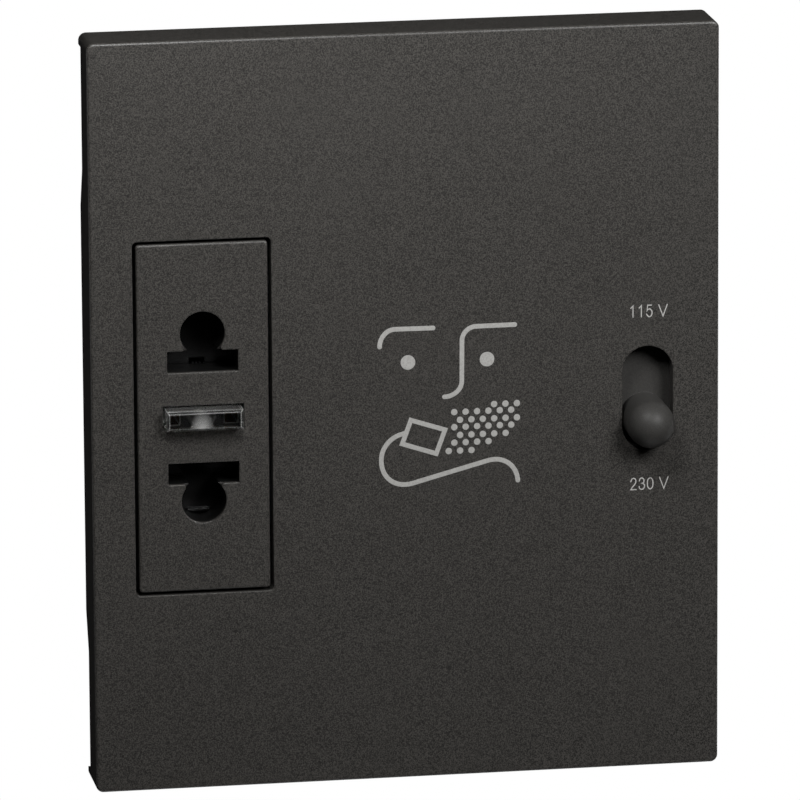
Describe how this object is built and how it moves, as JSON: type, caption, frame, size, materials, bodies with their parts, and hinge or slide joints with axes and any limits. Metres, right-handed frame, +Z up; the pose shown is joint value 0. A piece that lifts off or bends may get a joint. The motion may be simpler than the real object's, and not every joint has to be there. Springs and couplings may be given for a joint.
{
  "type": "shaver socket",
  "caption": "Flush wall shaver socket with two shuttered pin holes, a clear plug key, a voltage slide selector and an isolating transformer behind the plate.",
  "frame": {"origin": "middle of the seat, which is the rear face of the front housing's flange, against the wall frame", "axes": "+X to the right seen from the front, +Y into the wall, +Z up"},
  "size_m": [0.0672, 0.0559, 0.081],
  "materials": {
    "cover_plastic": "fine matt grain",
    "face_plastic": "fine matt grain",
    "knob_plastic": "satin",
    "clear_plastic": "clear, polished",
    "lamp_glass": "clear",
    "spacer_plastic": "natural nylon",
    "shutter_plastic": "satin",
    "switch_plastic": "satin",
    "switch_base_plastic": "moulded",
    "housing_plastic": "moulded matt",
    "board_laminate": "laminate",
    "bobbin_plastic": "moulded",
    "cutout_plastic": "moulded",
    "winding_wire": "enamelled copper wire",
    "winding_tape": "polyester tape over wire",
    "contact_copper": "rolled phosphor bronze",
    "contact_brass": "stamped",
    "terminal_brass": "stamped",
    "contact_tin": "tinned",
    "spring_steel": "drawn wire",
    "can_steel": "tinned sheet",
    "core_steel": "stacked sheet",
    "clamp_steel": "zinc plated",
    "screw_steel": "zinc plated"
  },
  "bodies": {
    "socket": {"front_cover": "cover_plastic", "socket_face": "face_plastic", "line_post": "contact_brass", "feed_post": "contact_brass", "pilot_lamp": "lamp_glass", "lamp_spacer": "spacer_plastic", "key_spring": "spring_steel", "upper_shutter_spring": "spring_steel", "lower_shutter_spring": "spring_steel", "upper_contact": "contact_copper", "lower_contact": "contact_copper", "switch_can": "can_steel", "switch_base": "switch_base_plastic", "contact_230": "contact_brass", "contact_common": "contact_brass", "contact_115": "contact_brass", "front_housing": "housing_plastic", "circuit_board": "board_laminate", "core_e": "core_steel", "core_i": "core_steel", "bobbin": "bobbin_plastic", "primary_winding": "winding_wire", "secondary_winding": "winding_tape", "coil_pins": "contact_tin", "core_clamp": "clamp_steel", "thermal_cutout": "cutout_plastic", "line_terminal": "terminal_brass", "neutral_terminal": "terminal_brass", "terminal_screws": "screw_steel", "rear_housing": "housing_plastic", "housing_screws": "screw_steel"},
    "key": {"plug_key": "clear_plastic", "key_bridge": "contact_copper"},
    "upper_flap": {"upper_shutter": "shutter_plastic"},
    "lower_flap": {"lower_shutter": "shutter_plastic"},
    "selector": {"selector_knob": "knob_plastic", "switch_slider": "switch_plastic", "switch_bridge": "contact_copper"}
  },
  "joints": [
    {"name": "key_press", "type": "slide", "parent": "socket", "child": "key", "axis": [0, 1, 0], "range_m": [0, 0.0017], "stiffness_N_per_m": 250, "springref_m": -0.0015, "deforming": ["key_spring"]},
    {"name": "upper_flap_swing", "type": "hinge", "parent": "socket", "child": "upper_flap", "pos_m": [-0.02175, -0.0014, 0.00405], "axis": [-1, 0, 0], "range_deg": [0, 88], "stiffness_Nm_per_rad": 0.00005, "springref_deg": -28.65, "deforming": ["upper_shutter_spring"]},
    {"name": "lower_flap_swing", "type": "hinge", "parent": "socket", "child": "lower_flap", "pos_m": [-0.02175, -0.0014, -0.00405], "axis": [1, 0, 0], "range_deg": [0, 88], "stiffness_Nm_per_rad": 0.00005, "springref_deg": -28.65, "deforming": ["lower_shutter_spring"]},
    {"name": "selector_slide", "type": "slide", "parent": "socket", "child": "selector", "axis": [0, 0, 1], "range_m": [0, 0.0049]}
  ]
}
